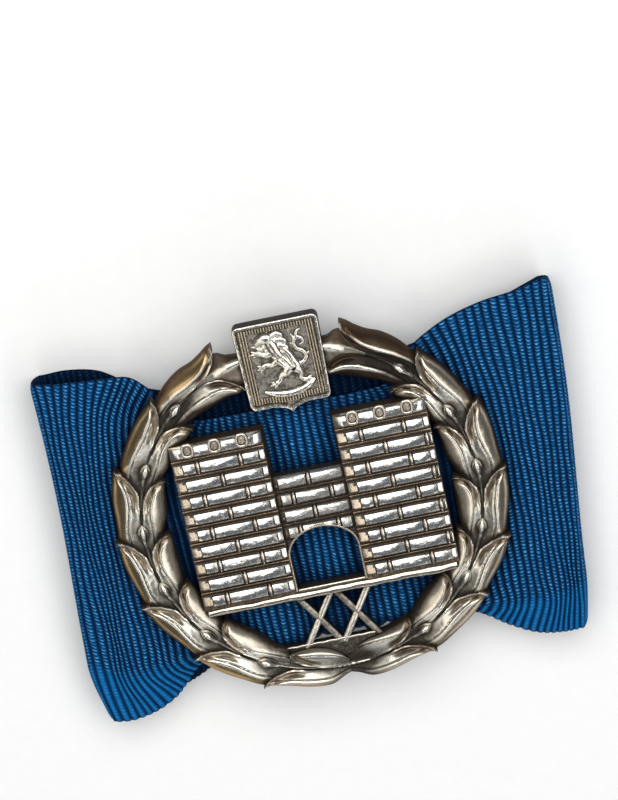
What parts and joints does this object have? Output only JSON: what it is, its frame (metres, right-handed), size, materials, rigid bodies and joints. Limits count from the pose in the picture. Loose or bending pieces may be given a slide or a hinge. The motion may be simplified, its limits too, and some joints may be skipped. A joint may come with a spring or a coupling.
{
  "type": "merit badge on ribbon bow",
  "caption": "Pierced silver badge with a castle gate in a laurel wreath and a small shield, on a flat bow of ribbed blue ribbon, with a brooch pin behind.",
  "frame": {"origin": "on the surface that the badge lies on, under the middle of its box", "axes": "+Z out of the badge's face, +Y towards the shield, +X to the right as the face is looked at, along the ribbon bow"},
  "size_m": [0.0518, 0.0386, 0.0081],
  "materials": {
    "silver": "struck silver, polished high spots over darkened hollows",
    "ribbon": "ribbed blue ribbon with a soft sheen",
    "pin_metal": "satin white metal"
  },
  "bodies": {
    "root": {"badge": "silver", "ribbon_bow": "ribbon", "brooch_pin": "pin_metal"}
  },
  "joints": []
}
